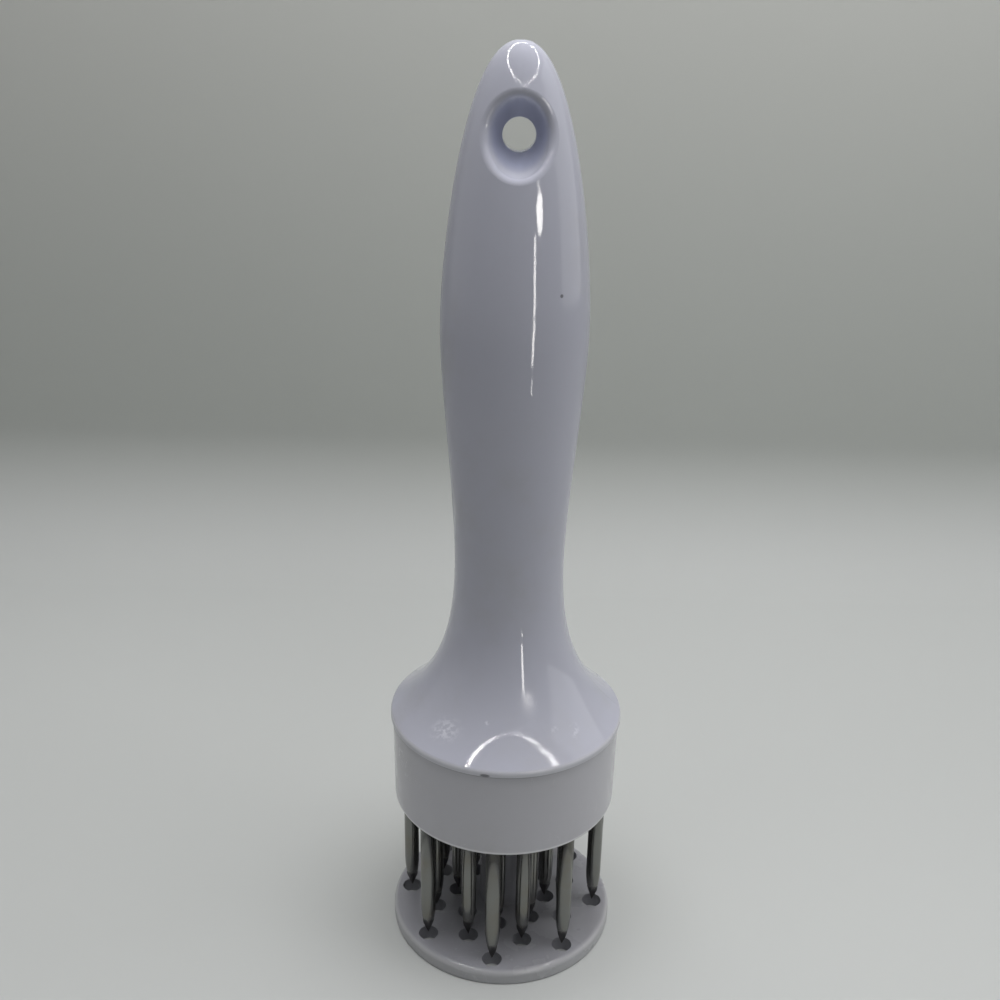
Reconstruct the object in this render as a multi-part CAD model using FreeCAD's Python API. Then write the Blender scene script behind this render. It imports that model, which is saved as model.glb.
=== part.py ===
import FreeCAD, Part
import math
import os

os.makedirs("parts", exist_ok=True)

# Blade meat tenderizer, standing on its guard plate. Millimetres, Z up, the
# origin at the middle of the underside of the guard plate, the front at -Y.

# Guard plate
plate_thickness = 3.6
plate_rim = 1.75
plate_top_round = 1.3
plate_bottom_round = 0.4
post_seat_depth = 1.0

# Needle blades, in three rings
blades_per_ring = 8
first_blade_angle = -4.7
blade_radius = 1.7
blade_shoulder_radius = 1.35
blade_taper_length = 5.0
blade_point_length = 4.2
blade_head_radius = 2.3
blade_head_thickness = 1.5
blade_tip_gap = 0.4
blade_play = 0.55
outer_ring_margin = 3.3
middle_ring_margin = 4.5
inner_ring_margin = 3.12

# Blade holder, a cup with a thick floor
holder_bottom = 35.7
holder_height = 20.4
holder_radius = 25.5
holder_draft = 0.2
holder_floor = 5.0
holder_wall = 1.5
holder_edge_round = 0.5
guide_wall = 2.1
guide_height = 5.3

# Clamp disc that shuts the blade heads in
clamp_thickness = 2.4

# Handle, one moulding with a bell-shaped foot
seam_gap = 0.2
flange_overhang = 0.5
flange_lip = 1.2
flange_round = 0.95
waist_rise = 35.5
waist_half_width = 11.75
waist_half_depth = 10.7
grip_length = 54.1
belly_half_width = 14.85
belly_half_depth = 12.6
dome_length = 51.4
tip_depth_share = 0.78
tip_flat_radius = 0.6
bell_tightness = 1.3
dome_fullness = 1.5
dome_roundness = 2.3
bell_wall = 3.5
cavity_rise = 12.0
spigot_depth = 4.0
spigot_wall = 1.5
chamber_length = 70.1
chamber_wall = 2.3

# Hanging hole and the dish round it, front and back
hole_below_tip = 16.4
hole_radius = 3.15
hole_land = 3.2
dish_half_width = 6.15
dish_half_height = 7.55
dish_rise = 0.45
dish_rim_round = 1.2

# Plunger post between the guard plate and the return spring
post_radius = 5.2
plunger_head_radius = 6.8
plunger_head_height = 4.0
plunger_nose_height = 4.0

# Return spring
spring_wire = 1.0
spring_mean_radius = 5.8
spring_turns = 14
spring_end_pitch = 1.7
arcs_per_turn = 4

# Screws
holder_screw_radius = 1.2
holder_screw_head_radius = 2.1
holder_screw_head_height = 1.6
holder_screw_bite = 9.0
holder_boss_radius = 2.6
guard_screw_radius = 1.5
guard_screw_head_radius = 2.8
guard_screw_head_height = 1.5
guard_screw_bite = 12.0
screw_slot_width = 0.7
screw_slot_depth = 0.7

# Clearances
slide_clearance = 0.08
loose_clearance = 0.3
press_clearance = 0.03
screw_hole_clearance = 0.25
end_gap = 0.05

# Levels and radii that follow from the sizes above
up = FreeCAD.Vector(0, 0, 1)
blade_tip = plate_thickness + blade_tip_gap
floor_top = holder_bottom + holder_floor
clamp_top = floor_top + clamp_thickness
guide_top = floor_top + guide_height
holder_top = holder_bottom + holder_height
holder_bottom_radius = holder_radius - holder_draft
holder_inner_radius = holder_radius - holder_wall
flange_radius = holder_radius + flange_overhang
flange_bottom = holder_top + seam_gap
flange_top = flange_bottom + flange_lip
waist_level = flange_top + waist_rise
belly_level = waist_level + grip_length
handle_top = belly_level + dome_length
hole_level = handle_top - hole_below_tip
cavity_top = flange_top + cavity_rise
plunger_head_top = guide_top + plunger_head_height
chamber_top = plunger_head_top + chamber_length
chamber_bottom = guide_top + loose_clearance
chamber_radius = plunger_head_radius + loose_clearance
chamber_outer_radius = chamber_radius + chamber_wall
post_bottom = plate_thickness - post_seat_depth
guide_bore_radius = post_radius + slide_clearance
guide_radius = guide_bore_radius + guide_wall
spigot_radius = holder_inner_radius - loose_clearance
guard_screw_recess = guard_screw_head_height + screw_hole_clearance
holder_screw_recess = holder_screw_head_height + screw_hole_clearance
# The outer ring keeps to the wall of the holder, the inner one to the guide, and
# the middle one to the screws, which stand close to the wall outside it.
holder_screw_circle = spigot_radius - loose_clearance - holder_boss_radius
outer_ring_radius = holder_bottom_radius - outer_ring_margin
middle_ring_radius = holder_screw_circle - middle_ring_margin
inner_ring_radius = guide_radius + inner_ring_margin
plate_hole_radius = blade_radius + blade_play
plate_radius = outer_ring_radius + plate_hole_radius + plate_rim


def cylinder(radius, bottom, top, x=0.0, y=0.0):
    return Part.makeCylinder(radius, top - bottom, FreeCAD.Vector(x, y, bottom), up)


def turned(outline):
    # A solid of revolution about Z from (radius, height) points.
    points = [FreeCAD.Vector(radius, 0, height) for radius, height in outline]
    face = Part.Face(Part.makePolygon(points + points[:1]))
    return face.revolve(FreeCAD.Vector(0, 0, 0), up, 360)


def edges_at(shape, radius, height):
    # The edges that run round Z at the given radius and height.
    found = []
    for edge in shape.Edges:
        points = edge.discretize(4)
        off_level = max(abs(point.z - height) for point in points)
        off_radius = max(abs(math.hypot(point.x, point.y) - radius) for point in points)
        if off_level < 0.01 and off_radius < 0.01:
            found.append(edge)
    return found


def round_off(shape, radius, height, size):
    return shape.makeFillet(size, edges_at(shape, radius, height))


def around(circle_radius, first_angle, count):
    # Evenly spaced (x, y) places on a circle.
    places = []
    for index in range(count):
        angle = math.radians(first_angle + index * 360.0 / count)
        places.append((circle_radius * math.cos(angle), circle_radius * math.sin(angle)))
    return places


half_step = 180.0 / blades_per_ring
blade_rings = {
    "outer": around(outer_ring_radius, first_blade_angle, blades_per_ring),
    "middle": around(middle_ring_radius, first_blade_angle + half_step, blades_per_ring),
    "inner": around(inner_ring_radius, first_blade_angle, blades_per_ring),
}
blade_places = [place for ring in blade_rings.values() for place in ring]
# The holder screws stand outside every second blade of the middle ring.
holder_screw_places = around(holder_screw_circle, first_blade_angle + half_step, blades_per_ring // 2)


def slotted_screw(head_radius, head_height, radius, bottom, tip):
    # A screw that points up, its cross recess in the underside of the head.
    head = cylinder(head_radius, bottom, bottom + head_height)
    screw = head.fuse(cylinder(radius, bottom + head_height, tip)).removeSplitter()
    reach = head_radius * 1.3
    for length, width in ((reach, screw_slot_width), (screw_slot_width, reach)):
        corner = FreeCAD.Vector(-length / 2, -width / 2, bottom)
        screw = screw.cut(Part.makeBox(length, width, screw_slot_depth, corner))
    return screw


def make_guard_plate():
    plate = cylinder(plate_radius, 0, plate_thickness)
    plate = round_off(plate, plate_radius, plate_thickness, plate_top_round)
    plate = round_off(plate, plate_radius, 0, plate_bottom_round)
    holes = [cylinder(plate_hole_radius, 0, plate_thickness, x, y) for x, y in blade_places]
    seat = cylinder(post_radius + press_clearance, post_bottom, plate_thickness)
    recess = cylinder(guard_screw_head_radius + screw_hole_clearance, 0, guard_screw_recess)
    bore = cylinder(guard_screw_radius + screw_hole_clearance, 0, plate_thickness)
    return plate.cut(holes + [seat, recess, bore])


def make_plunger_post():
    nose_radius = spring_mean_radius - spring_wire / 2 - loose_clearance
    nose_top = plunger_head_top + plunger_nose_height
    post = turned([
        (0, post_bottom),
        (post_radius, post_bottom),
        (post_radius, guide_top),
        (plunger_head_radius, guide_top),
        (plunger_head_radius, plunger_head_top),
        (nose_radius, plunger_head_top),
        (nose_radius, nose_top),
        (0, nose_top),
    ])
    bore = cylinder(guard_screw_radius + press_clearance, post_bottom, post_bottom + guard_screw_bite)
    return post.cut(bore)


def make_guard_screw():
    bottom = guard_screw_recess - guard_screw_head_height
    tip = post_bottom + guard_screw_bite - loose_clearance
    return slotted_screw(
        guard_screw_head_radius, guard_screw_head_height, guard_screw_radius, bottom, tip)


def make_blade(x, y):
    # A round needle with a nail head on top, ground in two steps to a point.
    point_top = blade_tip + blade_point_length
    taper_top = point_top + blade_taper_length
    head_bottom = floor_top - blade_head_thickness
    blade = turned([
        (0, blade_tip),
        (blade_shoulder_radius, point_top),
        (blade_radius, taper_top),
        (blade_radius, head_bottom),
        (blade_head_radius, head_bottom),
        (blade_head_radius, floor_top),
        (0, floor_top),
    ])
    blade.translate(FreeCAD.Vector(x, y, 0))
    return blade


def make_blade_holder():
    cup = turned([
        (0, holder_bottom),
        (holder_bottom_radius, holder_bottom),
        (holder_radius, holder_top),
        (holder_inner_radius, holder_top),
        (holder_inner_radius, floor_top),
        (guide_radius, floor_top),
        (guide_radius, guide_top),
        (0, guide_top),
    ])
    cup = round_off(cup, holder_bottom_radius, holder_bottom, holder_edge_round)
    cuts = [cylinder(guide_bore_radius, holder_bottom, guide_top)]
    for x, y in blade_places:
        cuts.append(cylinder(blade_radius + press_clearance, holder_bottom, floor_top, x, y))
        pocket_radius = blade_head_radius + press_clearance
        cuts.append(cylinder(pocket_radius, floor_top - blade_head_thickness, floor_top, x, y))
    for x, y in holder_screw_places:
        head_radius = holder_screw_head_radius + screw_hole_clearance
        cuts.append(cylinder(head_radius, holder_bottom, holder_bottom + holder_screw_recess, x, y))
        cuts.append(cylinder(holder_screw_radius + screw_hole_clearance, holder_bottom, floor_top, x, y))
    return cup.cut(cuts)


def make_clamp_disc():
    disc = cylinder(holder_inner_radius - loose_clearance, floor_top, clamp_top)
    cuts = [cylinder(guide_radius + loose_clearance, floor_top, clamp_top)]
    for x, y in holder_screw_places:
        cuts.append(cylinder(holder_screw_radius + screw_hole_clearance, floor_top, clamp_top, x, y))
    return disc.cut(cuts)


def make_holder_screws():
    bottom = holder_bottom + holder_screw_recess - holder_screw_head_height
    tip = clamp_top + holder_screw_bite - loose_clearance
    screws = []
    for x, y in holder_screw_places:
        screw = slotted_screw(
            holder_screw_head_radius, holder_screw_head_height, holder_screw_radius, bottom, tip)
        screw.translate(FreeCAD.Vector(x, y, 0))
        screws.append(screw)
    return Part.makeCompound(screws)


def bell_radius(level, target):
    # The foot of the handle falls steeply from the rim and runs out flat at the
    # waist: target plus the widening times (1 - s) squared over 1 + tightness * s.
    s = (level - flange_top) / waist_rise
    return target + (flange_radius - target) * (1 - s) ** 2 / (1 + bell_tightness * s)


def handle_section(level):
    # Half width and half depth of the handle at a level. The bell runs up to the
    # waist, an even S-curve to the belly, and a rounded dome to the tip.
    if level <= waist_level:
        half_width = bell_radius(level, waist_half_width)
        half_depth = bell_radius(level, waist_half_depth)
    elif level <= belly_level:
        t = (level - waist_level) / grip_length
        ease = t * t * (3 - 2 * t)
        half_width = waist_half_width + (belly_half_width - waist_half_width) * ease
        half_depth = waist_half_depth + (belly_half_depth - waist_half_depth) * ease
    else:
        u = (level - belly_level) / dome_length
        swell = (1 - min(u, 1.0) ** dome_fullness) ** (1 / dome_roundness)
        half_width = belly_half_width * swell
        belly_share = belly_half_depth / belly_half_width
        ease = u * u * (3 - 2 * u)
        half_depth = half_width * (belly_share + (tip_depth_share - belly_share) * ease)
    return half_width, half_depth


def section_wire(level):
    half_width, half_depth = handle_section(level)
    centre = FreeCAD.Vector(0, 0, level)
    if half_width - half_depth < 0.001:
        return Part.Wire(Part.Circle(centre, up, half_width).toShape())
    side = FreeCAD.Vector(half_width, 0, level)
    back = FreeCAD.Vector(0, half_depth, level)
    return Part.Wire(Part.Ellipse(side, back, centre).toShape())


def handle_levels():
    # Sections lie closer together at the rim and towards the tip.
    bell = [flange_top + waist_rise * share for share in (0.0, 0.06, 0.15, 0.28, 0.45, 0.7, 1.0)]
    grip = [waist_level + grip_length * share for share in (0.33, 0.67, 1.0)]
    tip_swell = tip_flat_radius / belly_half_width
    last_share = (1 - tip_swell ** dome_roundness) ** (1 / dome_fullness)
    steps = 9
    dome = []
    for step in range(1, steps + 1):
        share = last_share * math.sin(math.radians(90.0 * step / steps))
        dome.append(belly_level + dome_length * share)
    return bell + grip + dome


def dish(side):
    # An egg-shaped hollow round one mouth of the hanging hole. Its middle lies as
    # far out as the handle's face at its lower end, so it has no undercut.
    middle = hole_level + dish_rise
    offset = handle_section(middle - dish_half_height)[1]
    floor_reach = math.sqrt(1 - (hole_radius / dish_half_width) ** 2)
    stretch = FreeCAD.Matrix()
    stretch.A11 = dish_half_width
    stretch.A22 = (offset - hole_land / 2) / floor_reach
    stretch.A33 = dish_half_height
    origin = FreeCAD.Vector(0, 0, 0)
    hollow = Part.makeSphere(1.0, origin, FreeCAD.Vector(0, 1, 0)).transformGeometry(stretch)
    hollow.translate(FreeCAD.Vector(0, side * offset, middle))
    return hollow


def dish_rims(shape):
    # The edges where the two dishes break through the outside of the handle.
    nearest = (hole_radius + dish_half_width) / 2
    furthest = dish_half_height * 1.3
    found = []
    for edge in shape.Edges:
        if not edge.Degenerated:
            points = edge.discretize(8)
            reach = [math.hypot(point.x, point.z - hole_level) for point in points]
            if min(reach) > nearest and max(reach) < furthest:
                found.append(edge)
    return found


def make_handle():
    grip = Part.makeLoft([section_wire(level) for level in handle_levels()], True)
    lip = cylinder(flange_radius, flange_bottom, flange_top)
    body = grip.fuse(lip)
    body = round_off(body, flange_radius, flange_top, flange_round)
    envelope = body.fuse(cylinder(spigot_radius, clamp_top, flange_bottom))

    levels = [flange_top + cavity_rise * share for share in (0.15, 0.35, 0.6, 1.0)]
    bell_inside = [(bell_radius(level, waist_half_width) - bell_wall, level) for level in levels]
    spigot_inside = spigot_radius - spigot_wall
    mouth = [(0, clamp_top), (spigot_inside, clamp_top), (spigot_inside, flange_top)]
    cavity = turned(mouth + bell_inside + [(0, cavity_top)])
    spigot = cylinder(spigot_radius, flange_bottom - spigot_depth, flange_top)
    body = body.fuse(spigot)
    body = body.cut(cavity)

    sleeve = cylinder(chamber_outer_radius, chamber_bottom, cavity_top)
    bosses = []
    for x, y in holder_screw_places:
        boss = cylinder(holder_boss_radius, clamp_top, cavity_top, x, y)
        bosses.append(boss.common(envelope))
    body = body.fuse([sleeve] + bosses)

    cuts = [cylinder(chamber_radius, chamber_bottom, chamber_top)]
    for x, y in holder_screw_places:
        pilot_radius = holder_screw_radius + press_clearance
        cuts.append(cylinder(pilot_radius, clamp_top, clamp_top + holder_screw_bite, x, y))
    body = body.cut(cuts)

    half_length = 2 * belly_half_depth
    start = FreeCAD.Vector(0, -half_length, hole_level)
    hole = Part.makeCylinder(hole_radius, 2 * half_length, start, FreeCAD.Vector(0, 1, 0))
    body = body.cut([hole, dish(-1), dish(1)])
    return body.makeFillet(dish_rim_round, dish_rims(body))


def spring_height(turn):
    # Two close end turns with an even pitch between them.
    bottom = plunger_head_top + spring_wire / 2 + end_gap
    top = chamber_top - spring_wire / 2 - end_gap
    middle_turns = spring_turns - 2
    middle_pitch = (top - bottom - 2 * spring_end_pitch) / middle_turns
    if turn <= 1:
        return bottom + spring_end_pitch * turn
    if turn >= spring_turns - 1:
        return top - spring_end_pitch * (spring_turns - turn)
    return bottom + spring_end_pitch + middle_pitch * (turn - 1)


def spring_point(turn):
    angle = 2 * math.pi * turn
    x = spring_mean_radius * math.cos(angle)
    y = spring_mean_radius * math.sin(angle)
    return FreeCAD.Vector(x, y, spring_height(turn))


def spring_tangent(turn):
    angle = 2 * math.pi * turn
    step = 0.25 / arcs_per_turn
    low = max(turn - step, 0)
    high = min(turn + step, spring_turns)
    climb = (spring_height(high) - spring_height(low)) / (2 * math.pi * (high - low))
    x = -spring_mean_radius * math.sin(angle)
    y = spring_mean_radius * math.cos(angle)
    return FreeCAD.Vector(x, y, climb).normalize()


def arc_from(start, corner, end):
    # The arc that touches start-corner and corner-end at its two ends.
    half_chord = (end - start).Length / 2
    weight = half_chord / (corner - start).Length
    middle = (start + end + corner * (2 * weight)) * (1 / (2 + 2 * weight))
    return Part.Arc(start, middle, end).toShape()


def biarc(start, start_way, end, end_way):
    # Two arcs that meet smoothly between two points with given directions.
    chord = end - start
    both = start_way + end_way
    turn = 2 * (1 - start_way.dot(end_way))
    reach = (-chord.dot(both) + math.sqrt(chord.dot(both) ** 2 + turn * chord.dot(chord))) / turn
    first = start + start_way * reach
    second = end - end_way * reach
    join = (first + second) * 0.5
    return [arc_from(start, first, join), arc_from(join, second, end)]


def make_return_spring():
    edges = []
    for index in range(spring_turns * arcs_per_turn):
        low = index / arcs_per_turn
        high = (index + 1) / arcs_per_turn
        edges += biarc(spring_point(low), spring_tangent(low), spring_point(high), spring_tangent(high))
    path = Part.Wire(edges)
    wire_section = Part.Circle(spring_point(0), spring_tangent(0), spring_wire / 2).toShape()
    spring = path.makePipeShell([Part.Wire(wire_section)], True, False)
    report_spring(spring, path)
    return spring


def report_spring(spring, path):
    # The least gap between two neighbouring turns, and the volume against section times length.
    samples = 24
    gaps = []
    for index in range((spring_turns - 1) * samples):
        here = spring_point(index / samples)
        for ahead in range(samples // 2, 3 * samples // 2 + 1):
            there = spring_point(min(index / samples + ahead / samples, spring_turns))
            if index / samples + ahead / samples <= spring_turns:
                gaps.append((there - here).Length - spring_wire)
    print("spring: least gap to itself %.2f mm" % min(gaps))
    expected = math.pi * (spring_wire / 2) ** 2 * path.Length
    print("spring: volume %.2f mm3, section times length %.2f mm3" % (spring.Volume, expected))


def export(name, shape):
    print("%-18s solids %d valid %s volume %.1f" % (name, len(shape.Solids), shape.isValid(), shape.Volume))
    shape.exportStep("parts/" + name + ".step")


export("guard_plate", make_guard_plate())
export("plunger_post", make_plunger_post())
export("guard_screw", make_guard_screw())
export("blade_holder", make_blade_holder())
export("clamp_disc", make_clamp_disc())
export("holder_screws", make_holder_screws())
for ring_name, places in blade_rings.items():
    for number, (place_x, place_y) in enumerate(places, 1):
        export("blade_%s_%d" % (ring_name, number), make_blade(place_x, place_y))
export("return_spring", make_return_spring())
export("handle", make_handle())
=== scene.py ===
import math

import bmesh
import bpy
import numpy as np
from mathutils import Matrix, Vector


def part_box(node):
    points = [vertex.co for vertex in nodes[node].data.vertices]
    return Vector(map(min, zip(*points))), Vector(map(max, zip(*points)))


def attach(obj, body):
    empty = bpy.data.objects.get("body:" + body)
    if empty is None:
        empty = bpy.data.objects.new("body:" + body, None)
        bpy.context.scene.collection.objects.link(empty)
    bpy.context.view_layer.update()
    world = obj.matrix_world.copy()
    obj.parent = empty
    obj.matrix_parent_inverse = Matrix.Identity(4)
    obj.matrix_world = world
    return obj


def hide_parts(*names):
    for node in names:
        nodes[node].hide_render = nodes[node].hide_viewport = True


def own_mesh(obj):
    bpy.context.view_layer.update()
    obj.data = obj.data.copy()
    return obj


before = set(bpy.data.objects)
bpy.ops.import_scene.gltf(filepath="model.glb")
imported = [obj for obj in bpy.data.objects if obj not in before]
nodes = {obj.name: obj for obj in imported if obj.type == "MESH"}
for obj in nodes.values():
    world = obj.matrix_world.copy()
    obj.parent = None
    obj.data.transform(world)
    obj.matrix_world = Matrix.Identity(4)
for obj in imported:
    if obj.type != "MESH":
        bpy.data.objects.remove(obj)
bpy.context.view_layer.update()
mm = 0.001
print("frame loaded with", len(nodes), "pieces")


# Small helpers

def linkNodes(tree, source, target):
    tree.links.new(source, target)


def addNode(tree, kind, **settings):
    node = tree.nodes.new(kind)
    for name, value in settings.items():
        setattr(node, name, value)
    return node


def newMaterial(name):
    material = bpy.data.materials.new(name)
    material.use_nodes = True
    return material, material.node_tree, material.node_tree.nodes["Principled BSDF"]


def newGroup(name, numbers, output):
    # every effect takes a position and some numbers, and gives one number
    group = bpy.data.node_groups.new(name, "ShaderNodeTree")
    group.interface.new_socket("Position", in_out="INPUT", socket_type="NodeSocketVector")
    for label, kind in numbers.items():
        group.interface.new_socket(label, in_out="INPUT", socket_type=kind)
    group.interface.new_socket(output, in_out="OUTPUT", socket_type="NodeSocketFloat")
    entry = group.nodes.new("NodeGroupInput")
    leave = group.nodes.new("NodeGroupOutput")
    return group, entry, leave


def useGroup(tree, group, place, **values):
    node = tree.nodes.new("ShaderNodeGroup")
    node.node_tree = group
    for label, value in values.items():
        node.inputs[label].default_value = value
    linkNodes(tree, place, node.inputs["Position"])
    return node.outputs[0]


def gridMesh(name, points, closed=False):
    # points is a rows x columns x 3 array, made into quads between neighbours; a closed one joins each
    # row's last point to its first
    rows, columns = points.shape[:2]
    index = np.arange(rows * columns).reshape(rows, columns)
    a, d = index[:-1], index[1:]
    b, c = np.roll(a, -1, axis=1), np.roll(d, -1, axis=1)
    if not closed:
        a, b, c, d = a[:, :-1], b[:, :-1], c[:, :-1], d[:, :-1]
    faces = np.stack([a, b, c, d], axis=-1).reshape(-1, 4)
    mesh = bpy.data.meshes.new(name)
    mesh.from_pydata(points.reshape(-1, 3).tolist(), [], faces.tolist())
    mesh.shade_smooth()
    mesh.update()
    piece = bpy.data.objects.new(name, mesh)
    bpy.context.scene.collection.objects.link(piece)
    return piece


mergeDistance = 1e-7


def mergePoles(piece):
    # a row of points that all lie in one place becomes one point
    shell = bmesh.new()
    shell.from_mesh(piece.data)
    bmesh.ops.remove_doubles(shell, verts=shell.verts, dist=mergeDistance)
    shell.to_mesh(piece.data)
    shell.free()


def backgroundRay(tree):
    # 1 for what the camera sees, straight or in gloss or glass
    ray = addNode(tree, "ShaderNodeLightPath")
    total = None
    for label in ("Is Camera Ray", "Is Glossy Ray", "Is Transmission Ray"):
        step = addNode(tree, "ShaderNodeMath", operation="ADD", use_clamp=True)
        step.inputs[0].default_value = 0.0
        linkNodes(tree, ray.outputs[label], step.inputs[1])
        if total is not None:
            linkNodes(tree, total, step.inputs[0])
        total = step.outputs[0]
    return total


# Stage: one pale sheet that runs along the table and sweeps up behind, see-through from its back

sheetShape = {
    "halfWidth": 2.0, "front": -2.0, "bendStart": 0.165, "bendRadius": 0.045, "bendPoints": 25,
    "height": 1.4,
}


def makeSheet():
    # the profile runs along the table, round a quarter circle and up the wall
    radius = sheetShape["bendRadius"]
    start = sheetShape["bendStart"]
    angle = np.linspace(0, math.pi / 2, sheetShape["bendPoints"])
    bend = np.stack([start + radius * np.sin(angle), radius * (1 - np.cos(angle))], axis=1)
    profile = np.concatenate([[[sheetShape["front"], 0.0]], bend, [[start + radius, sheetShape["height"]]]])
    across = np.array([-sheetShape["halfWidth"], sheetShape["halfWidth"]])
    points = np.zeros((len(profile), len(across), 3))
    points[..., 0] = across
    points[..., 1:] = profile[:, None]
    return gridMesh("sheet", points)


room = {  # the fade's distances count height for less than length and width
    "colour": (0.335, 0.345, 0.330, 1.0), "nearest": 0.32, "farthest": 0.75, "axisShares": (1.0, 1.0, 0.3),
}
# the wall's darker foot is painted shade, and the sheet's clouds also paint soft shadows
sheetFinish = {
    "table": (0.600, 0.612, 0.602, 1.0), "shadedWallFoot": (0.485, 0.502, 0.478, 1.0),
    "wallTop": (0.620, 0.622, 0.592, 1.0), "footHeight": 0.055, "topHeight": 0.30, "roughness": 0.75,
    "cloudScale": 2.6, "cloudDetail": 1.0, "cloudDepth": 0.16,
}


def roomFade(tree, place, shader):
    # far from the object the sheet passes into the room's own colour, by its distance from the foot
    level = addNode(tree, "ShaderNodeVectorMath", operation="MULTIPLY")
    level.inputs[1].default_value = room["axisShares"]
    away = addNode(tree, "ShaderNodeVectorMath", operation="LENGTH")
    fade = addNode(tree, "ShaderNodeMapRange", interpolation_type="SMOOTHSTEP")
    fade.inputs["From Min"].default_value = room["nearest"]
    fade.inputs["From Max"].default_value = room["farthest"]
    amount = addNode(tree, "ShaderNodeMath", operation="MULTIPLY")
    glow = addNode(tree, "ShaderNodeEmission")
    glow.inputs["Color"].default_value = room["colour"]
    mix = addNode(tree, "ShaderNodeMixShader")
    linkNodes(tree, place, level.inputs[0])
    linkNodes(tree, level.outputs[0], away.inputs[0])
    linkNodes(tree, away.outputs["Value"], fade.inputs["Value"])
    linkNodes(tree, fade.outputs["Result"], amount.inputs[0])
    linkNodes(tree, backgroundRay(tree), amount.inputs[1])
    linkNodes(tree, amount.outputs[0], mix.inputs[0])
    linkNodes(tree, shader.outputs["BSDF"], mix.inputs[1])
    linkNodes(tree, glow.outputs["Emission"], mix.inputs[2])
    return mix.outputs["Shader"]


def sheetMaterial():
    # painted shade: the tone follows the height, darkest at the foot of the wall, and broad faint clouds of
    # random tone also paint in soft shadow patches
    material, tree, shader = newMaterial("paleSheet")
    place = addNode(tree, "ShaderNodeTexCoord")
    height = addNode(tree, "ShaderNodeSeparateXYZ")
    ramp = addNode(tree, "ShaderNodeValToRGB")
    scale = addNode(tree, "ShaderNodeMath", operation="DIVIDE")
    scale.inputs[1].default_value = sheetFinish["topHeight"]
    steps = ramp.color_ramp.elements
    steps[0].color = sheetFinish["table"]
    steps[1].color = sheetFinish["wallTop"]
    steps.new(sheetFinish["footHeight"] / sheetFinish["topHeight"]).color = sheetFinish["shadedWallFoot"]
    ramp.color_ramp.interpolation = "EASE"
    cloud = addNode(tree, "ShaderNodeTexNoise")
    cloud.inputs["Scale"].default_value = sheetFinish["cloudScale"]
    cloud.inputs["Detail"].default_value = sheetFinish["cloudDetail"]
    depth = addNode(tree, "ShaderNodeMapRange")
    depth.inputs["To Min"].default_value = 1.0 - sheetFinish["cloudDepth"]
    depth.inputs["To Max"].default_value = 1.0 + sheetFinish["cloudDepth"]
    tint = addNode(tree, "ShaderNodeMix", data_type="RGBA", blend_type="MULTIPLY")
    tint.inputs["Factor"].default_value = 1.0
    linkNodes(tree, place.outputs["Object"], height.inputs[0])
    linkNodes(tree, height.outputs["Z"], scale.inputs[0])
    linkNodes(tree, scale.outputs[0], ramp.inputs["Fac"])
    linkNodes(tree, place.outputs["Object"], cloud.inputs["Vector"])
    linkNodes(tree, cloud.outputs["Fac"], depth.inputs["Value"])
    linkNodes(tree, ramp.outputs["Color"], tint.inputs[6])
    linkNodes(tree, depth.outputs["Result"], tint.inputs[7])
    linkNodes(tree, tint.outputs[2], shader.inputs["Base Color"])
    shader.inputs["Roughness"].default_value = sheetFinish["roughness"]
    shader.inputs["Specular IOR Level"].default_value = 0.0
    far = roomFade(tree, place.outputs["Object"], shader)
    geometry = addNode(tree, "ShaderNodeNewGeometry")
    clear = addNode(tree, "ShaderNodeBsdfTransparent")
    mix = addNode(tree, "ShaderNodeMixShader")
    linkNodes(tree, geometry.outputs["Backfacing"], mix.inputs[0])
    linkNodes(tree, far, mix.inputs[1])
    linkNodes(tree, clear.outputs["BSDF"], mix.inputs[2])
    linkNodes(tree, mix.outputs["Shader"], tree.nodes["Material Output"].inputs["Surface"])
    return material


sheet = makeSheet()
sheet.data.materials.append(sheetMaterial())


# Lights: over the object two rings of small lamps that only the gloss shows, and a round glow inside
# them that it doesn't show; soft panels above and behind, out of the gloss, and at the sides, also in
# it; and upright lamps in front, to the right, that only the gloss shows

def addPanel(name, place, aim, size, radiance, colour=(1.0, 1.0, 1.0), diffuse=True, gloss=True):
    width, height = size
    data = bpy.data.lights.new(name, "AREA")
    data.shape = "RECTANGLE"
    data.size = width
    data.size_y = height
    data.energy = radiance * math.pi * width * height
    data.color = colour
    lamp = bpy.data.objects.new(name, data)
    lamp.location = place
    lamp.rotation_mode = "QUATERNION"
    lamp.rotation_quaternion = (Vector(aim) - Vector(place)).to_track_quat("-Z", "Y")
    lamp.visible_camera = False
    lamp.visible_diffuse = diffuse
    lamp.visible_glossy = gloss
    bpy.context.scene.collection.objects.link(lamp)
    return lamp


ringLight = {
    "x": 0.034, "y": -0.120, "height": 0.42, "radii": (0.208, 0.219), "widthShare": 0.90, "chips": 66,
    "chipSize": (0.0045, 0.0125), "frontThinning": 0.85, "radiance": 75.0,
    "colour": (1.0, 0.985, 0.975, 1.0),
}
ringGlow = {"above": 0.01, "radiance": 0.85, "colour": (0.97, 0.98, 1.0)}


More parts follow.
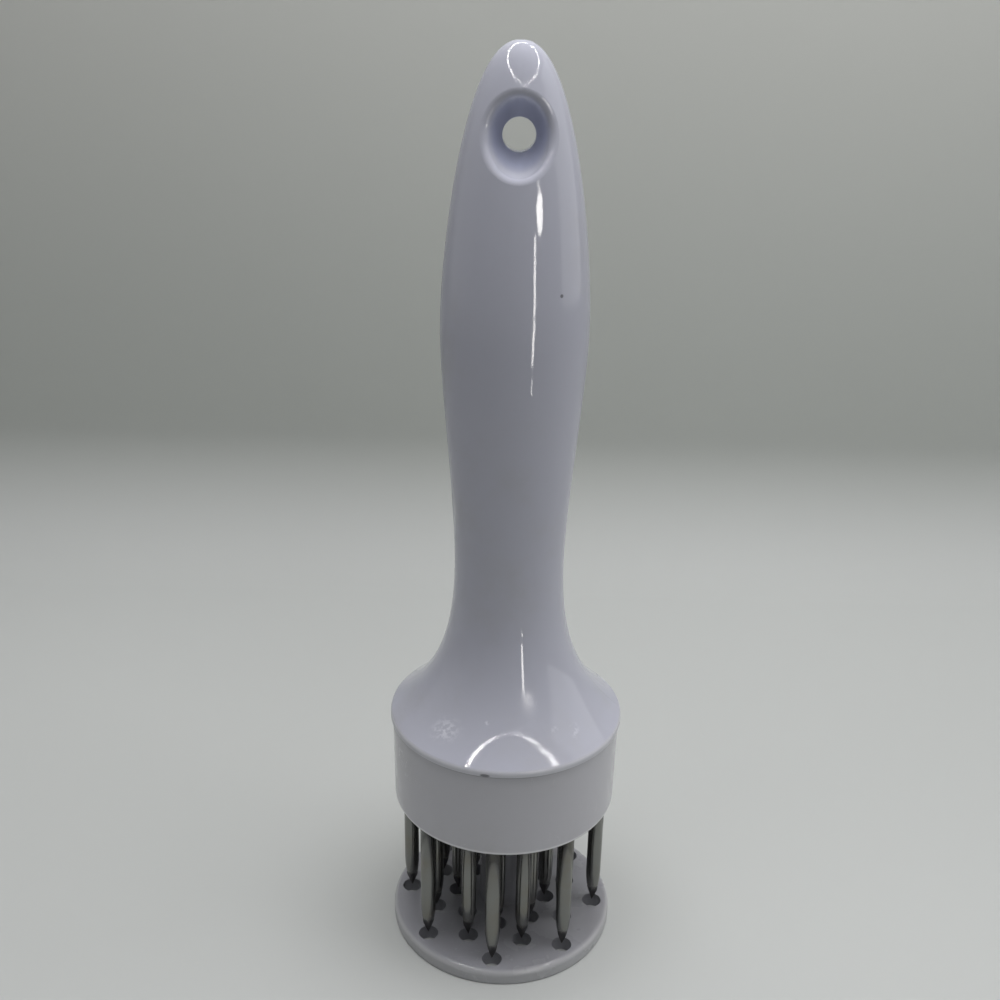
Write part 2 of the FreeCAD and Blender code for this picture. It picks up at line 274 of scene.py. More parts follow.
def makeRing():
    # oblong chips stand at even angles on two circles, each with its sides along and across the circle,
    # and are thinner towards the front by the square of how far they face it; the circles are then
    # made a little narrower across
    ring = ringLight
    angle = np.arange(ring["chips"]) * 2 * math.pi / ring["chips"]
    radius, angle = np.meshgrid(ring["radii"], angle, indexing="ij")
    out = np.stack([np.cos(angle), np.sin(angle)], axis=-1)
    along = np.stack([-np.sin(angle), np.cos(angle)], axis=-1)
    deep, wide = ring["chipSize"]
    front = np.clip(-np.sin(angle), 0, 1)[..., None] ** 2
    deep = deep * (1 - ring["frontThinning"] * front)
    signs = ((-1, -1), (-1, 1), (1, 1), (1, -1))
    corners = [radius[..., None] * out + (i * deep * out + j * wide * along) / 2 for i, j in signs]
    flat = np.stack(corners, axis=2).reshape(-1, 2) * (ring["widthShare"], 1) + (ring["x"], ring["y"])
    points = np.concatenate([flat, np.full((len(flat), 1), ring["height"])], axis=1)
    mesh = bpy.data.meshes.new("ringLight")
    mesh.from_pydata(points.tolist(), [], np.arange(len(points)).reshape(-1, 4).tolist())
    piece = bpy.data.objects.new("ringLight", mesh)
    bpy.context.scene.collection.objects.link(piece)
    piece.visible_camera = False
    piece.visible_diffuse = False
    return piece


def ringMaterial():
    material, _, shader = newMaterial("ringGlow")
    shader.inputs["Base Color"].default_value = (0.0, 0.0, 0.0, 1.0)
    shader.inputs["Emission Color"].default_value = ringLight["colour"]
    shader.inputs["Emission Strength"].default_value = ringLight["radiance"]
    return material


ring = makeRing()
ring.data.materials.append(ringMaterial())


def addGlow():
    x, y, z = ringLight["x"], ringLight["y"], ringLight["height"] + ringGlow["above"]
    across = 2 * ringLight["radii"][0]
    glow = addPanel("ringGlow", (x, y, z), (x, y, 0), (across, across), ringGlow["radiance"],
                    ringGlow["colour"], gloss=False)
    glow.data.shape = "ELLIPSE"


softPanels = {
    "softTop": {
        "place": (0.06, -0.04, 0.61), "aim": (0.06, -0.04, 0.0), "size": (0.62, 0.28), "radiance": 3.35,
        "gloss": False,
    },
    "softRear": {
        "place": (0.0, 0.19, 0.55), "aim": (0.0, 0.0, 0.1), "size": (0.5, 0.2), "radiance": 2.5,
        "gloss": False,
    },
    "softLeft": {"place": (-0.45, 0.0, 0.3), "aim": (0.0, 0.0, 0.15), "size": (0.5, 0.5), "radiance": 0.13},
    "softRight": {"place": (0.50, 0.0, 0.3), "aim": (0.0, 0.0, 0.15), "size": (0.5, 0.5), "radiance": 0.80},
}
uprightLight = {"distance": 0.32, "radiance": 14.0, "colour": (1.0, 0.97, 0.93)}
uprightParts = {  # lower end, upper end, width, degrees to the right of the front, and the lamp's form
    "uprightTop": (0.186, 0.228, 0.052, 31.5, "ELLIPSE"),
    "uprightMid": (0.036, 0.186, 0.015, 24.5, "RECTANGLE"),
    "uprightFoot": (0.006, 0.020, 0.006, 25.0, "RECTANGLE"),
}


def addUpright():
    away = uprightLight["distance"]
    for name, (low, high, width, degrees, form) in uprightParts.items():
        turn = math.radians(degrees)
        z = (low + high) / 2
        place = (away * math.sin(turn), -away * math.cos(turn), z)
        lamp = addPanel(name, place, (0, 0, z), (width, high - low), uprightLight["radiance"],
                        uprightLight["colour"], diffuse=False)
        lamp.data.shape = form


addGlow()
for name, panel in softPanels.items():
    addPanel(name, **panel)
addUpright()

worldLight = {"ambient": (0.9, 0.93, 0.95, 1.0), "ambientStrength": 0.03}


def addWorld():
    world = bpy.data.worlds.new("room")
    bpy.context.scene.world = world
    world.use_nodes = True
    tree = world.node_tree
    ambient = tree.nodes["Background"]
    ambient.inputs["Color"].default_value = worldLight["ambient"]
    ambient.inputs["Strength"].default_value = worldLight["ambientStrength"]
    seen = addNode(tree, "ShaderNodeBackground")
    seen.inputs["Color"].default_value = room["colour"]
    mix = addNode(tree, "ShaderNodeMixShader")
    linkNodes(tree, backgroundRay(tree), mix.inputs[0])
    linkNodes(tree, ambient.outputs["Background"], mix.inputs[1])
    linkNodes(tree, seen.outputs["Background"], mix.inputs[2])
    linkNodes(tree, mix.outputs["Shader"], tree.nodes["World Output"].inputs["Surface"])


addWorld()
print("stage and lights placed")


# Needle blades: round shanks that widen from the ground point, which has four flats, and end in a head

bladeShape = {  # lengths in millimetres
    "shankRadius": 1.70, "shoulderRadius": 1.35, "pointLength": 4.2, "taperLength": 5.0, "tipRadius": 0.07,
    "headRadius": 2.30, "headThickness": 1.5, "edge": 0.12, "flats": 4, "flatShare": 1.12, "crispness": 14,
    "columns": 64, "pointRows": 56, "blades": 24, "seed": 11, "least": 1e-6, "uncut": 1e9,
}


def makeBlade(node, turn):
    # the radius is the shank's radius by height, cut down where a flat of the point is nearer to the
    # axis: flat distance / cosine of the angle to the middle of the flat, both joined by a soft minimum,
    # (shank ^ -crispness + flat ^ -crispness) ^ (-1 / crispness); above twice the point nothing is cut
    blade = bladeShape
    low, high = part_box(node)
    x, y, foot, top = (low.x + high.x) / 2, (low.y + high.y) / 2, low.z / mm, high.z / mm
    point, taper = blade["pointLength"], blade["taperLength"]
    under = top - blade["headThickness"]
    edge, head, shank = blade["edge"], blade["headRadius"], blade["shankRadius"]
    lower = foot + np.linspace(0, point + taper, blade["pointRows"])
    heights = np.concatenate([lower, [(foot + under) / 2, under - edge]])
    rise = np.clip((heights - foot - point) / taper, 0, 1)
    radii = blade["shoulderRadius"] + (shank - blade["shoulderRadius"]) * rise * (2 - rise)
    heights = np.append(heights, [under, under + edge, top - edge, top, top])
    radii = np.append(radii, [head - edge, head, head, head - edge, 0.0])
    angle = np.linspace(0, 2 * math.pi, blade["columns"], endpoint=False)
    sector = 2 * math.pi / blade["flats"]
    fromFlat = (angle - turn) % sector - sector / 2
    flat = blade["tipRadius"] + (heights - foot) * blade["shoulderRadius"] / (point * blade["flatShare"])
    cut = flat[:, None] / np.cos(fromFlat)[None]
    soft = blade["crispness"]
    full = np.maximum(radii, blade["least"])[:, None]
    cut = np.where(heights[:, None] > foot + 2 * point, blade["uncut"], cut)
    radius = (full ** -soft + cut ** -soft) ** (-1 / soft)
    level = np.broadcast_to(heights[:, None], radius.shape)
    rows = np.stack([radius * np.cos(angle), radius * np.sin(angle), level], axis=-1)
    tip = np.broadcast_to([0.0, 0.0, foot], (1, len(angle), 3))
    points = np.concatenate([tip, rows]) * mm + (x, y, 0.0)
    piece = gridMesh(node + "_ground", points, closed=True)
    mergePoles(piece)
    return piece


# Return spring: one wire wound inside the grip, in one fixed shape; the guard presses it together when it
# slides up

coilShape = {  # millimetres, with the turns and the rise of the first and last turn
    "meanRadius": 5.8, "wire": 1.0, "turns": 14, "endPitch": 1.7, "steps": 48, "sides": 12,
    "fixedEnd": 120.1,
}


def makeCoil():
    # the middle of the wire goes round at a steady rate and climbs slowly in its first and last turn and
    # evenly between; the wire's circle lies across its direction, out from the axis and across that
    coil = coilShape
    low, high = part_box("return_spring")
    bottom, top = low.z / mm + coil["wire"] / 2, high.z / mm - coil["wire"] / 2
    turns, pitch = coil["turns"], coil["endPitch"]
    turn = np.linspace(0, turns, turns * coil["steps"] + 1)
    height = np.interp(turn, [0, 1, turns - 1, turns], [bottom, bottom + pitch, top - pitch, top])
    angle = 2 * math.pi * turn
    out = np.stack([np.cos(angle), np.sin(angle), np.zeros_like(angle)], axis=-1)
    middle = coil["meanRadius"] * out
    middle[:, 2] = height
    along = np.gradient(middle, axis=0)
    along /= np.linalg.norm(along, axis=1, keepdims=True)
    across = np.cross(along, out)
    around = np.linspace(0, 2 * math.pi, coil["sides"], endpoint=False)[:, None]
    circle = np.cos(around) * out[:, None] + np.sin(around) * across[:, None]
    rows = middle[:, None] + coil["wire"] / 2 * circle
    ends = [np.broadcast_to(point, (1, coil["sides"], 3)) for point in (middle[0], middle[-1])]
    piece = gridMesh("return_spring_coil", np.concatenate([ends[0], rows, ends[1]]) * mm, closed=True)
    mergePoles(piece)
    return piece


# Materials: each is a set of values on shared effects, placed by the object's own coordinates

effectNoise = {
    "swellDetail": 1.0, "scratchDetail": 2.0, "patchScale": 90.0, "smudgeDetail": 4.0,
    "smudgeRoughness": 0.6,
}


def positionWave():
    # slow swells of a gloss moulding, as a height
    group, entry, leave = newGroup("mouldSwell", {
        "Waves": "NodeSocketFloat", "Depth": "NodeSocketFloat",
    }, "Height")
    noise = addNode(group, "ShaderNodeTexNoise")
    noise.inputs["Detail"].default_value = effectNoise["swellDetail"]
    depth = addNode(group, "ShaderNodeMath", operation="MULTIPLY")
    linkNodes(group, entry.outputs["Position"], noise.inputs["Vector"])
    linkNodes(group, entry.outputs["Waves"], noise.inputs["Scale"])
    linkNodes(group, noise.outputs["Fac"], depth.inputs[0])
    linkNodes(group, entry.outputs["Depth"], depth.inputs[1])
    linkNodes(group, depth.outputs[0], leave.inputs["Height"])
    return group


def scratchEffect():
    # hairline scratches: thin level lines of noise that is stretched along the direction of wiping
    group, entry, leave = newGroup("hairScratches", {
        "Stretch": "NodeSocketVector", "Fineness": "NodeSocketFloat", "Width": "NodeSocketFloat",
        "Cover": "NodeSocketFloat",
    }, "Mask")
    stretch = addNode(group, "ShaderNodeVectorMath", operation="MULTIPLY")
    lines = addNode(group, "ShaderNodeTexNoise")
    lines.inputs["Detail"].default_value = effectNoise["scratchDetail"]
    away = addNode(group, "ShaderNodeMath", operation="SUBTRACT")
    away.inputs[1].default_value = 0.5
    size = addNode(group, "ShaderNodeMath", operation="ABSOLUTE")
    thin = addNode(group, "ShaderNodeMapRange")
    thin.inputs["To Min"].default_value = 1.0
    thin.inputs["To Max"].default_value = 0.0
    patches = addNode(group, "ShaderNodeTexNoise")
    patches.inputs["Scale"].default_value = effectNoise["patchScale"]
    shown = addNode(group, "ShaderNodeMath", operation="LESS_THAN")
    both = addNode(group, "ShaderNodeMath", operation="MULTIPLY")
    linkNodes(group, entry.outputs["Position"], stretch.inputs[0])
    linkNodes(group, entry.outputs["Stretch"], stretch.inputs[1])
    linkNodes(group, stretch.outputs[0], lines.inputs["Vector"])
    linkNodes(group, entry.outputs["Fineness"], lines.inputs["Scale"])
    linkNodes(group, lines.outputs["Fac"], away.inputs[0])
    linkNodes(group, away.outputs[0], size.inputs[0])
    linkNodes(group, size.outputs[0], thin.inputs["Value"])
    linkNodes(group, entry.outputs["Width"], thin.inputs["From Max"])
    linkNodes(group, entry.outputs["Position"], patches.inputs["Vector"])
    linkNodes(group, patches.outputs["Fac"], shown.inputs[0])
    linkNodes(group, entry.outputs["Cover"], shown.inputs[1])
    linkNodes(group, thin.outputs["Result"], both.inputs[0])
    linkNodes(group, shown.outputs[0], both.inputs[1])
    linkNodes(group, both.outputs[0], leave.inputs["Mask"])
    return group


def speckEffect():
    # small specks at the middles of random cells, of which a share is shown
    group, entry, leave = newGroup("darkSpecks", {
        "Cells": "NodeSocketFloat", "Size": "NodeSocketFloat", "Share": "NodeSocketFloat",
    }, "Mask")
    cells = addNode(group, "ShaderNodeTexVoronoi")
    near = addNode(group, "ShaderNodeMapRange")
    near.inputs["To Min"].default_value = 1.0
    near.inputs["To Max"].default_value = 0.0
    pick = addNode(group, "ShaderNodeSeparateColor")
    shown = addNode(group, "ShaderNodeMath", operation="LESS_THAN")
    both = addNode(group, "ShaderNodeMath", operation="MULTIPLY")
    linkNodes(group, entry.outputs["Position"], cells.inputs["Vector"])
    linkNodes(group, entry.outputs["Cells"], cells.inputs["Scale"])
    linkNodes(group, cells.outputs["Distance"], near.inputs["Value"])
    linkNodes(group, entry.outputs["Size"], near.inputs["From Max"])
    linkNodes(group, cells.outputs["Color"], pick.inputs[0])
    linkNodes(group, pick.outputs[0], shown.inputs[0])
    linkNodes(group, entry.outputs["Share"], shown.inputs[1])
    linkNodes(group, near.outputs["Result"], both.inputs[0])
    linkNodes(group, shown.outputs[0], both.inputs[1])
    linkNodes(group, both.outputs[0], leave.inputs["Mask"])
    return group


def smudgeEffect():
    # soft blotches where the surface has been handled: noise between two levels
    group, entry, leave = newGroup("handlingSmudge", {
        "Blotches": "NodeSocketFloat", "From": "NodeSocketFloat", "To": "NodeSocketFloat",
    }, "Mask")
    noise = addNode(group, "ShaderNodeTexNoise")
    noise.inputs["Detail"].default_value = effectNoise["smudgeDetail"]
    noise.inputs["Roughness"].default_value = effectNoise["smudgeRoughness"]
    level = addNode(group, "ShaderNodeMapRange", interpolation_type="SMOOTHSTEP")
    linkNodes(group, entry.outputs["Position"], noise.inputs["Vector"])
    linkNodes(group, entry.outputs["Blotches"], noise.inputs["Scale"])
    linkNodes(group, noise.outputs["Fac"], level.inputs["Value"])
    linkNodes(group, entry.outputs["From"], level.inputs["From Min"])
    linkNodes(group, entry.outputs["To"], level.inputs["From Max"])
    linkNodes(group, level.outputs["Result"], leave.inputs["Mask"])
    return group


def spotEffect():
    # one soft-edged spot: the distance from its middle, divided by its half sizes, within 1
    group, entry, leave = newGroup("singleSpot", {
        "Middle": "NodeSocketVector", "HalfSize": "NodeSocketVector", "Softness": "NodeSocketFloat",
    }, "Mask")
    offset = addNode(group, "ShaderNodeVectorMath", operation="SUBTRACT")
    share = addNode(group, "ShaderNodeVectorMath", operation="DIVIDE")
    reach = addNode(group, "ShaderNodeVectorMath", operation="LENGTH")
    inner = addNode(group, "ShaderNodeMath", operation="SUBTRACT")
    inner.inputs[0].default_value = 1.0
    level = addNode(group, "ShaderNodeMapRange", interpolation_type="SMOOTHSTEP")
    level.inputs["From Max"].default_value = 1.0
    level.inputs["To Min"].default_value = 1.0
    level.inputs["To Max"].default_value = 0.0
    linkNodes(group, entry.outputs["Position"], offset.inputs[0])
    linkNodes(group, entry.outputs["Middle"], offset.inputs[1])
    linkNodes(group, offset.outputs[0], share.inputs[0])
    linkNodes(group, entry.outputs["HalfSize"], share.inputs[1])
    linkNodes(group, share.outputs[0], reach.inputs[0])
    linkNodes(group, reach.outputs["Value"], level.inputs["Value"])
    linkNodes(group, entry.outputs["Softness"], inner.inputs[1])
    linkNodes(group, inner.outputs[0], level.inputs["From Min"])
    linkNodes(group, level.outputs["Result"], leave.inputs["Mask"])
    return group


mouldSwell = positionWave()
hairScratches = scratchEffect()
darkSpecks = speckEffect()
handlingSmudge = smudgeEffect()
singleSpot = spotEffect()


def mixColour(tree, mask, strength, under, over):
    # under and over are sockets or plain colours; the mask is scaled by strength
    amount = addNode(tree, "ShaderNodeMath", operation="MULTIPLY")
    amount.inputs[1].default_value = strength
    mix = addNode(tree, "ShaderNodeMix", data_type="RGBA")
    linkNodes(tree, mask, amount.inputs[0])
    linkNodes(tree, amount.outputs[0], mix.inputs[0])
    for socket, value in ((mix.inputs[6], under), (mix.inputs[7], over)):
        if isinstance(value, tuple):
            socket.default_value = value
        else:
            linkNodes(tree, value, socket)
    return mix.outputs[2]


def weightedSum(tree, start, *terms):
    # start plus each mask times its weight
    total = None
    for mask, weight in terms:
        step = addNode(tree, "ShaderNodeMath", operation="MULTIPLY_ADD")
        linkNodes(tree, mask, step.inputs[0])
        step.inputs[1].default_value = weight
        if total is None:
            step.inputs[2].default_value = start
        else:
            linkNodes(tree, total, step.inputs[2])
        total = step.outputs[0]
    return total


def bumpFrom(tree, shader, height):
    bump = addNode(tree, "ShaderNodeBump")
    bump.inputs["Distance"].default_value = 1.0
    linkNodes(tree, height, bump.inputs["Height"])
    linkNodes(tree, bump.outputs["Normal"], shader.inputs["Normal"])


plasticFinish = {
    "handlePlastic": {
        "colour": (0.505, 0.510, 0.590, 1.0), "worn": (0.475, 0.475, 0.520, 1.0),
        "speck": (0.06, 0.05, 0.05, 1.0), "wearFrom": 0.48, "wearTo": 0.78,
        "roughness": 0.055, "wornRoughness": 0.07, "scratchRoughness": 0.16,
        "swell": 0.000012, "scratchDepth": 0.0000012, "specks": 0.07, "speckSize": 0.045,
    },
    "cupPlastic": {
        "colour": (0.575, 0.570, 0.612, 1.0), "worn": (0.535, 0.53, 0.555, 1.0),
        "speck": (0.08, 0.07, 0.06, 1.0), "wearFrom": 0.45, "wearTo": 0.80,
        "roughness": 0.16, "wornRoughness": 0.10, "scratchRoughness": 0.12,
        "swell": 0.000010, "scratchDepth": 0.0000015, "specks": 0.05, "speckSize": 0.04,
    },
    # painted shade: the guard and post are darker than the other plastic, for the shade under the cup
    "shadedGuardPlastic": {
        "colour": (0.365, 0.365, 0.400, 1.0), "worn": (0.320, 0.316, 0.338, 1.0),
        "speck": (0.07, 0.06, 0.05, 1.0), "wearFrom": 0.40, "wearTo": 0.72,
        "roughness": 0.20, "wornRoughness": 0.14, "scratchRoughness": 0.18,
        "swell": 0.000010, "scratchDepth": 0.0000030, "specks": 0.10, "speckSize": 0.045,
    },
}
plasticEffects = {  # scale or count of each effect, and how far it covers the colour
    "blotches": 55.0, "smudgeAmount": 0.7, "cells": 260.0, "speckAmount": 0.9, "waves": 110.0,
    "scratches": (
        {"Stretch": (1.0, 1.0, 0.12), "Fineness": 420.0, "Width": 0.006, "Cover": 0.45},
        {"Stretch": (0.15, 1.0, 0.8), "Fineness": 360.0, "Width": 0.005, "Cover": 0.42},
    ),
}
# painted shadow: a dark band at the top of the cup, under the overhanging lip of the handle
shadeUnderLip = {"from": 0.05560, "to": 0.0560, "amount": 0.55, "colour": (0.13, 0.13, 0.14, 1.0)}
paintedEdgeLight = {  # paler plastic below a level on the cup, a painted highlight on its lower edge, and outside an upright rod on the guard's rim, its paler tone beside the painted shade of its top
    "cupPlastic": {"from": 0.03665, "to": 0.03625, "amount": 0.85, "colour": (0.80, 0.80, 0.82, 1.0)},
    "shadedGuardPlastic": {
        "halfSize": (0.0258, 0.0258, 10.0), "softness": 0.03, "amount": 0.75,
        "colour": (0.55, 0.55, 0.565, 1.0),
    },
}
lipWearAndHighlight = {  # the worn rim lies outside this upright rod round the axis; its paler colour is partly wear and partly a painted highlight on the lit lip
    "halfSize": (0.02592, 0.02592, 10.0), "softness": 0.016, "amount": 0.75,
    "colour": (0.66, 0.66, 0.70, 1.0), "roughness": 0.25,
}
partingLine = {  # a thin ridge down both sides
    "middle": (0.0, 0.0, 0.0), "halfSize": (10.0, 0.00016, 10.0), "softness": 0.6, "height": 0.000018,
}
darkMarks = {  # middle and half size of the nick in the rim, and of a speck on the grip
    "places": (
        ((-0.0040, -0.0256, 0.0566), (0.0013, 0.0012, 0.00045)),
        ((0.0087, -0.0098, 0.1540), (0.00045, 0.00045, 0.00045)),
    ),
    "softness": 0.45, "amount": 0.9, "colour": (0.16, 0.16, 0.18, 1.0),
}
hollowShade = {  # painted shade: the moulding is tinted bluer inside the hollow round the hole
    "middle": (0.0, 0.0, 0.1826), "halfSize": (0.0061, 10.0, 0.0074), "softness": 0.25, "amount": 0.85,
    "colour": (0.505, 0.530, 0.680, 1.0),
}
dullPlace = {  # a worn spot on the foot, where the streak of light fades out
    "middle": (0.0048, -0.0158, 0.0672), "halfSize": (0.0050, 0.0080, 0.0060), "softness": 1.0,
    "roughness": 0.20,
}
scuffs = {  # pale rubbed places on the foot, each a middle and a half size, filled with fine grain
    "places": (
        ((-0.0128, -0.0169, 0.0617), (0.0056, 0.0040, 0.0034)),
        ((-0.0039, -0.0182, 0.0645), (0.0007, 0.0007, 0.0007)),
        ((0.0105, -0.0173, 0.0625), (0.0011, 0.0012, 0.0012)),
        ((0.0150, -0.0160, 0.0620), (0.0018, 0.0026, 0.0024)),
    ),
    "softness": 0.9, "grain": 900.0, "grainFrom": 0.44, "grainTo": 0.60, "amount": 0.80,
    "colour": (0.72, 0.72, 0.79, 1.0), "roughness": 0.22,
}


def levelBand(tree, place, band):
    # 0 to 1 between two levels
    level = addNode(tree, "ShaderNodeSeparateXYZ")
    share = addNode(tree, "ShaderNodeMapRange", interpolation_type="SMOOTHSTEP")
    share.inputs["From Min"].default_value = band["from"]
    share.inputs["From Max"].default_value = band["to"]
    linkNodes(tree, place, level.inputs[0])
    linkNodes(tree, level.outputs["Z"], share.inputs["Value"])
    return share.outputs["Result"]


def spotMask(tree, place, middle, halfSize, softness):
    return useGroup(tree, singleSpot, place, Middle=middle, HalfSize=halfSize, Softness=softness)


def ownSpot(tree, place, spot):
    return spotMask(tree, place, spot["middle"], spot["halfSize"], spot["softness"])


def outsideRod(tree, place, rod):
    # 1 outside a tall upright rod round the axis, soft at its skin
    inside = spotMask(tree, place, (0.0, 0.0, 0.0), rod["halfSize"], rod["softness"])
    outside = addNode(tree, "ShaderNodeMath", operation="SUBTRACT")
    outside.inputs[0].default_value = 1.0
    linkNodes(tree, inside, outside.inputs[1])
    return outside.outputs[0]


def scuffMask(tree, place):
    # the sum of the rubbed places, each soft-edged, times a fine grain
    grain = useGroup(tree, handlingSmudge, place, Blotches=scuffs["grain"], From=scuffs["grainFrom"],
                     To=scuffs["grainTo"])
    spots = [(spotMask(tree, place, *spot, scuffs["softness"]), 1.0) for spot in scuffs["places"]]
    both = addNode(tree, "ShaderNodeMath", operation="MULTIPLY", use_clamp=True)
    linkNodes(tree, weightedSum(tree, 0.0, *spots), both.inputs[0])
    linkNodes(tree, grain, both.inputs[1])
    return both.outputs[0]


def handleMarks(tree, place, colour, height, rough):
    # what only the handle has: painted shade in the hollow, the worn rim with its painted highlight, rubbed
    # places, dull place, dark marks and parting line
    outside = outsideRod(tree, place, lipWearAndHighlight)
    worn = scuffMask(tree, place)
    hollow = ownSpot(tree, place, hollowShade)
    colour = mixColour(tree, hollow, hollowShade["amount"], colour, hollowShade["colour"])
    colour = mixColour(tree, outside, lipWearAndHighlight["amount"], colour, lipWearAndHighlight["colour"])
    colour = mixColour(tree, worn, scuffs["amount"], colour, scuffs["colour"])
    for spot in darkMarks["places"]:
        mark = spotMask(tree, place, *spot, darkMarks["softness"])
        colour = mixColour(tree, mark, darkMarks["amount"], colour, darkMarks["colour"])
    seam = ownSpot(tree, place, partingLine)
    height = weightedSum(tree, 0.0, (height, 1.0), (seam, partingLine["height"]))
    rough += [(worn, scuffs["roughness"]), (ownSpot(tree, place, dullPlace), dullPlace["roughness"]),
              (outside, lipWearAndHighlight["roughness"])]
    return colour, height


def plasticMaterial(name):
    # a gloss moulding with faint swells, smudges, dark specks and two sets of hairline scratches
    finish = plasticFinish[name]
    effects = plasticEffects
    material, tree, shader = newMaterial(name)
    place = addNode(tree, "ShaderNodeTexCoord").outputs["Object"]
    smudge = useGroup(tree, handlingSmudge, place, Blotches=effects["blotches"], From=finish["wearFrom"],
                      To=finish["wearTo"])
    speck = useGroup(tree, darkSpecks, place, Cells=effects["cells"], Size=finish["speckSize"],
                     Share=finish["specks"])
    scratches = [useGroup(tree, hairScratches, place, **lines) for lines in effects["scratches"]]
    swell = useGroup(tree, mouldSwell, place, Waves=effects["waves"], Depth=finish["swell"])
    colour = mixColour(tree, smudge, effects["smudgeAmount"], finish["colour"], finish["worn"])
    colour = mixColour(tree, speck, effects["speckAmount"], colour, finish["speck"])
    grooves = [(lines, -finish["scratchDepth"]) for lines in scratches]
    height = weightedSum(tree, 0.0, *grooves, (swell, 1.0))
    rough = [(smudge, finish["wornRoughness"])]
    rough += [(lines, finish["scratchRoughness"]) for lines in scratches]
    if name == "handlePlastic":
        colour, height = handleMarks(tree, place, colour, height, rough)
    if name == "cupPlastic":
        # painted shadow under the handle's lip, and a painted highlight along the cup's lower edge
        for band in (shadeUnderLip, paintedEdgeLight[name]):
            colour = mixColour(tree, levelBand(tree, place, band), band["amount"], colour, band["colour"])
    if name == "shadedGuardPlastic":
        # the guard's rim keeps a paler tone beside the painted shade on its top
        rim = paintedEdgeLight[name]
        colour = mixColour(tree, outsideRod(tree, place, rim), rim["amount"], colour, rim["colour"])
    linkNodes(tree, colour, shader.inputs["Base Color"])
    linkNodes(tree, weightedSum(tree, finish["roughness"], *rough), shader.inputs["Roughness"])
    bumpFrom(tree, shader, height)
    return material


steelFinish = {
    # painted shade: the blade steel is darkened for the shade between the cup and the guard
    "shadedBladeSteel": {
        "colour": (0.225, 0.228, 0.216, 1.0), "tint": (0.215, 0.202, 0.165, 1.0), "tintFrom": 0.45,
        "tintTo": 0.75, "roughness": 0.19, "lineRoughness": 0.05, "lines": 2600.0, "lineDepth": 0.00000015,
        "stretch": (1.0, 1.0, 0.012),
    },
    "screwSteel": {
        "colour": (0.50, 0.50, 0.50, 1.0), "tint": (0.42, 0.41, 0.38, 1.0), "tintFrom": 0.45,
        "tintTo": 0.70, "roughness": 0.28, "lineRoughness": 0.15, "lines": 2200.0, "lineDepth": 0.0000020,
        "stretch": (1.0, 0.05, 1.0),
    },
    "springSteel": {
        "colour": (0.36, 0.37, 0.39, 1.0), "tint": (0.30, 0.28, 0.25, 1.0), "tintFrom": 0.48,
        "tintTo": 0.75, "roughness": 0.30, "lineRoughness": 0.12, "lines": 1800.0, "lineDepth": 0.0000020,
        "stretch": (0.1, 0.1, 1.0),
    },
}
steelEffects = {"lineDetail": 3.0, "blotches": 140.0, "tintAmount": 0.8}
# painted shade and painted reflection of the shaded guard on the lower end of each blade
pointShade = {
    "top": 0.0098, "fade": 0.0014, "amount": 0.93, "colour": (0.060, 0.058, 0.062, 1.0), "roughness": 0.22,
}


def steelMaterial(name):
    # drawn or turned lines as stretched noise, a warm tint in blotches, and on the blades a dark point of
    # painted shade
    finish = steelFinish[name]
    material, tree, shader = newMaterial(name)
    place = addNode(tree, "ShaderNodeTexCoord").outputs["Object"]
    stretch = addNode(tree, "ShaderNodeVectorMath", operation="MULTIPLY")
    stretch.inputs[1].default_value = finish["stretch"]
    lines = addNode(tree, "ShaderNodeTexNoise")
    lines.inputs["Scale"].default_value = finish["lines"]
    lines.inputs["Detail"].default_value = steelEffects["lineDetail"]
    tint = useGroup(tree, handlingSmudge, place, Blotches=steelEffects["blotches"],
                    From=finish["tintFrom"], To=finish["tintTo"])
    linkNodes(tree, place, stretch.inputs[0])
    linkNodes(tree, stretch.outputs[0], lines.inputs["Vector"])
    colour = mixColour(tree, tint, steelEffects["tintAmount"], finish["colour"], finish["tint"])
    rough = [(lines.outputs["Fac"], finish["lineRoughness"])]
    if name == "shadedBladeSteel":
        height = addNode(tree, "ShaderNodeSeparateXYZ")
        level = weightedSum(tree, 0.0, (lines.outputs["Fac"], pointShade["fade"]))
        ragged = addNode(tree, "ShaderNodeMath", operation="ADD")
        ground = addNode(tree, "ShaderNodeMapRange", interpolation_type="SMOOTHSTEP")
        ground.inputs["From Min"].default_value = pointShade["top"]
        ground.inputs["From Max"].default_value = pointShade["top"] - pointShade["fade"]
        linkNodes(tree, place, height.inputs[0])
        linkNodes(tree, height.outputs["Z"], ragged.inputs[0])
        linkNodes(tree, level, ragged.inputs[1])
        linkNodes(tree, ragged.outputs[0], ground.inputs["Value"])
        dark = ground.outputs["Result"]
        colour = mixColour(tree, dark, pointShade["amount"], colour, pointShade["colour"])
        rough.append((dark, pointShade["roughness"]))
    linkNodes(tree, colour, shader.inputs["Base Color"])
    linkNodes(tree, weightedSum(tree, finish["roughness"], *rough), shader.inputs["Roughness"])
    bumpFrom(tree, shader, weightedSum(tree, 0.0, (lines.outputs["Fac"], finish["lineDepth"])))
    shader.inputs["Metallic"].default_value = 1.0
    return material


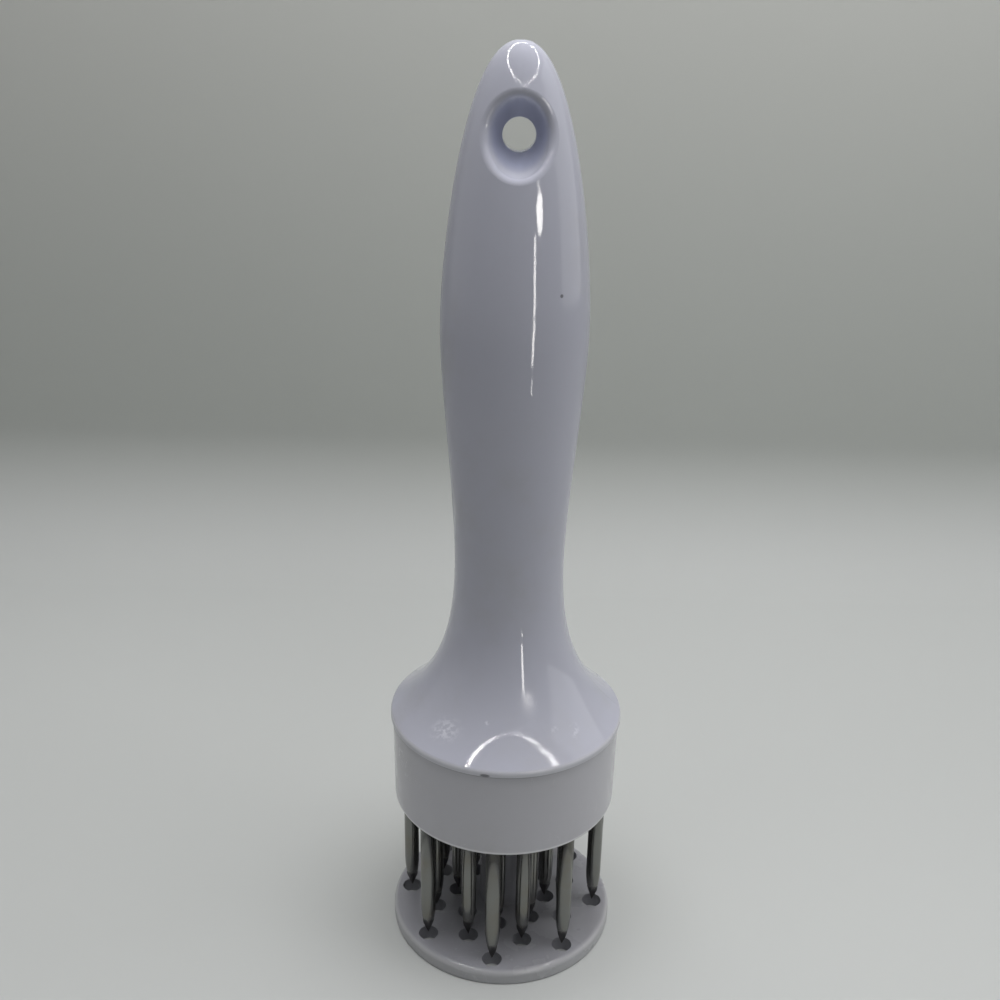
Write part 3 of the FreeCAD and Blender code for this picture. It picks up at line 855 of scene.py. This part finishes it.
materials = {name: plasticMaterial(name) for name in plasticFinish}
materials.update({name: steelMaterial(name) for name in steelFinish})
nodeFinish = {
    "handle": "handlePlastic", "blade_holder": "cupPlastic", "guard_plate": "shadedGuardPlastic",
    "plunger_post": "shadedGuardPlastic", "clamp_disc": "cupPlastic", "return_spring": "springSteel",
    "holder_screws": "screwSteel", "guard_screw": "screwSteel",
}
for name, finish in nodeFinish.items():
    nodes[name].material_slots[0].material = materials[finish]

sector = 2 * math.pi / bladeShape["flats"]
turns = np.random.default_rng(bladeShape["seed"]).uniform(0, sector, bladeShape["blades"])
bladeNodes = sorted(name for name in nodes if name.startswith("blade_") and name != "blade_holder")
for name, turn in zip(bladeNodes, turns):
    blade = makeBlade(name, turn)
    blade.data.materials.append(materials["shadedBladeSteel"])
    nodes[name].material_slots[0].material = materials["shadedBladeSteel"]
    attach(blade, "handle_body")
    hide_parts(name)
print("materials and", len(bladeNodes), "blades made")

coil = makeCoil()
coil.data.materials.append(materials["springSteel"])
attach(coil, "handle_body")
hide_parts("return_spring")
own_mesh(coil)


# Camera, at the photo's place: millimetres and radians

cameraSetup = {
    "back": 230.97, "height": 206.41, "yaw": -0.0097, "pitch": 0.403, "roll": -0.0199, "lens": 42.94,
    "clipStart": 10.0,
}


def addCamera():
    yaw, pitch, roll = cameraSetup["yaw"], cameraSetup["pitch"], cameraSetup["roll"]
    forward = np.array([math.sin(yaw) * math.cos(pitch), math.cos(yaw) * math.cos(pitch), -math.sin(pitch)])
    level = np.array([math.cos(yaw), -math.sin(yaw), 0.0])
    down = np.cross(forward, level)
    right = math.cos(roll) * level + math.sin(roll) * down
    low = math.cos(roll) * down - math.sin(roll) * level
    place = Matrix([right, -low, -forward]).transposed().to_4x4()
    place.translation = Vector((0.0, -cameraSetup["back"], cameraSetup["height"])) * mm
    data = bpy.data.cameras.new("photoCamera")
    data.lens = cameraSetup["lens"]
    data.clip_start = cameraSetup["clipStart"] * mm
    camera = bpy.data.objects.new("photoCamera", data)
    camera.matrix_world = place
    bpy.context.scene.collection.objects.link(camera)
    bpy.context.scene.camera = camera


addCamera()
bpy.context.scene.view_settings.view_transform = "Standard"
print("camera placed")
